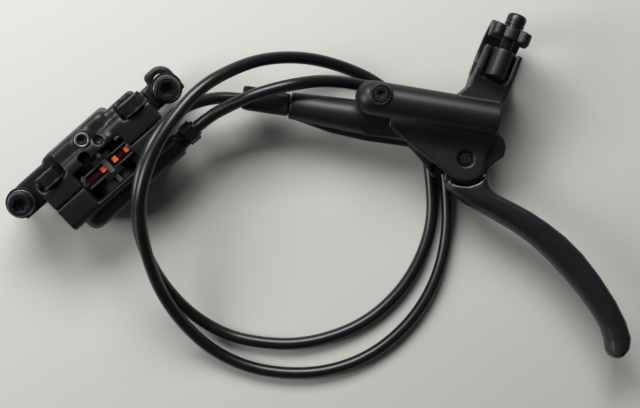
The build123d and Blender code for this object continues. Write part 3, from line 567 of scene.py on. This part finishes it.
# Hex-head bolts of the two caliper halves
BOLT_SEAT_Y, BODY_BOLT_Z = 8.6, 26.4
BODY_BOLTS = {"rear": -20.4, "front": 22.5}
for end, x in BODY_BOLTS.items():
    turn_piece("halves_bolt_" + end, [
        (0.0, -16.1), (2.6, -16.1), (3.0, -15.7), (3.0, 0.0), (5.8, 0.0), (5.9, 0.3),
        (5.3, 1.0), (4.85, 1.0, "hex"), (4.85, 5.3, "hex"), (4.55, 5.7, "hex"), (4.2, 5.8),
        (3.2, 5.8), (2.9, 4.4), (0.0, 4.2)],
        CALIPER @ along((0, 1, 0), x, BOLT_SEAT_Y, BODY_BOLT_Z), "body_bolt_" + end, turn=0.15)

# Reservoir's bleed screw with its star recess, and the blade's pivot pin
RESERVOIR_SCREW = LEVER @ along((0, 0, 1), -38.2, 18.8, 0)
turn_piece("reservoir_screw", [
    (0.0, 15.0), (1.7, 15.0), (2.0, 15.3), (2.0, 17.8), (3.1, 17.8), (3.1, 18.75),
    (2.85, 19.1), (2.3, 19.1), (2.2, 18.95), (1.75, 18.95), (1.45, 18.9, "star"),
    (1.3, 18.7, "star"), (1.25, 17.7, "star"), (0.0, 17.5)],
    RESERVOIR_SCREW, "lever_bleed_screw", turn=0.3)
turn_piece("blade_pivot", [
    (0.0, -7.2), (2.2, -7.2), (2.5, -6.9), (2.5, 6.1), (2.25, 6.45), (1.6, 6.5), (1.45, 6.3),
    (0.0, 6.25)], LEVER, "pivot_pin")

# Plug in the reservoir's end, and the ribbed boot round the push rod
RESERVOIR_END = LEVER @ along((1, 0, 0), 0, 17.5, 10.8)
BORE_END = LEVER @ along((1, 0, 0), 0, 10.0, 0)
turn_piece("reservoir_end_plug", [
    (0.0, 4.6), (3.6, 4.6), (3.7, 4.8), (3.7, 6.8), (6.0, 6.8), (6.0, 9.2), (5.75, 9.5),
    (4.6, 9.5), (4.4, 9.35), (3.0, 9.35)] + socket(4.0, 9.3, 1.4),
    RESERVOIR_END, "reservoir_plug")
turn_piece("push_rod_boot", [
    (1.95, -13.4), (4.75, -13.4), (4.75, -12.0), (3.7, -12.0), (3.7, -11.7), (3.1, -11.35),
    (3.4, -11.0), (2.8, -10.6), (3.1, -10.2), (2.5, -9.7), (1.95, -9.6), (1.95, -13.4)],
    BORE_END, "dust_boot")

# Caliper's bleed screw: a bright ring round a dark core, whose black steel is painted shade in its
# socket
BLEED = CALIPER @ along((0, 0, 1), -0.9, 14.3, 0)
turn_piece("bleed_ring", [
    (0.0, 25.2), (1.8, 25.2), (2.0, 25.4), (2.0, 28.6), (2.95, 28.6), (2.95, 29.95),
    (2.75, 30.2), (2.35, 30.2), (2.2, 30.05), (2.15, 27.6), (0.0, 27.4)],
    BLEED, "caliper_bleed_screw")
# Painted shade: the core takes black steel so that the screw's socket renders dark
turn_piece("bleed_core_painted_shade", [
    (0.0, 27.4), (2.14, 27.4), (2.14, 29.1), (1.95, 29.3), (1.6, 29.3)]
    + socket(2.6, 29.25, 1.2), BLEED, "caliper_bleed_screw", slot="black_steel")

# Threaded stub in the caliper's inlet, and the nut on the hose
INLET = CALIPER @ along((1, 0, 0), 9.5, -12.3, 22.5)
BOSS_END = 16.5
turn_piece("inlet_stub", [
    (0.9, BOSS_END - 8), (4.0, BOSS_END - 8), (4.0, BOSS_END), (4.4, BOSS_END),
    (4.4, BOSS_END + 0.7), (3.7, BOSS_END + 0.8)] + thread(4.0, BOSS_END + 0.9, BOSS_END + 3.9, 0.8)
    + [(3.2, BOSS_END + 3.4), (3.2, BOSS_END - 1.0), (0.9, BOSS_END - 1.0), (0.9, BOSS_END - 8)],
    INLET, "inlet_fitting")
turn_piece("inlet_nut", [
    (2.5, BOSS_END + 1.6), (3.2, BOSS_END + 1.6), (3.2, BOSS_END + 3.4), (3.8, BOSS_END + 3.4),
    (4.0, BOSS_END + 3.7, "hex"), (4.0, BOSS_END + 8.4, "hex"), (3.8, BOSS_END + 8.8),
    (3.4, BOSS_END + 8.8), (3.4, BOSS_END + 9.6), (3.1, BOSS_END + 9.8), (2.5, BOSS_END + 9.8),
    (2.5, BOSS_END + 1.6)], INLET, "caliper_hose_nut", turn=0.1)


# Table and lamps

TABLE_HALF = 4.0
SKY_STRENGTH = 0.07


def lay_table():
    """Pale sheet under the brake."""
    finish = Finish("table_paper_finish")
    cloud = finish.noise(6.0, 2.0)
    grain = finish.noise(900.0, 2.0)
    colour = finish.blend(cloud, rgb(0.395, 0.388, 0.362), rgb(0.41, 0.403, 0.376))
    finish.set(Base_Color=colour, Roughness=0.7, Normal=finish.bump(grain, 0.00003, 0.2))
    sheet = bmesh.new()
    bmesh.ops.create_grid(sheet, x_segments=8, y_segments=8, size=TABLE_HALF)
    mesh = bpy.data.meshes.new("table_top")
    sheet.to_mesh(mesh)
    sheet.free()
    top = bpy.data.objects.new("table_top", mesh)
    brake.collection.objects.link(top)
    dress(top, finish.material)


def hang_lamp(name, place, aim, size, watts):
    """Soft white rectangle that shines from place towards aim."""
    light = bpy.data.lights.new(name, "AREA")
    light.shape = "RECTANGLE"
    light.size, light.size_y = size
    light.energy = watts
    holder = bpy.data.objects.new(name, light)
    holder.location = place
    away = Vector(place) - Vector(aim)
    holder.rotation_euler = away.to_track_quat("Z", "Y").to_euler()
    brake.collection.objects.link(holder)


lay_table()
hang_lamp("window", (-0.12, 0.5, 0.5), (0.02, 0.0, 0.0), (0.6, 0.3), 9.0)
hang_lamp("room", (-0.62, -0.02, 0.4), (0.0, 0.0, 0.0), (0.3, 0.4), 3.6)

sky = bpy.data.worlds.new("studio")
sky.use_nodes = True
backdrop = sky.node_tree.nodes["Background"]
backdrop.inputs["Color"].default_value = rgb(0.93, 0.96, 1.0)
backdrop.inputs["Strength"].default_value = SKY_STRENGTH
brake.world = sky
brake.view_settings.view_transform = "Standard"
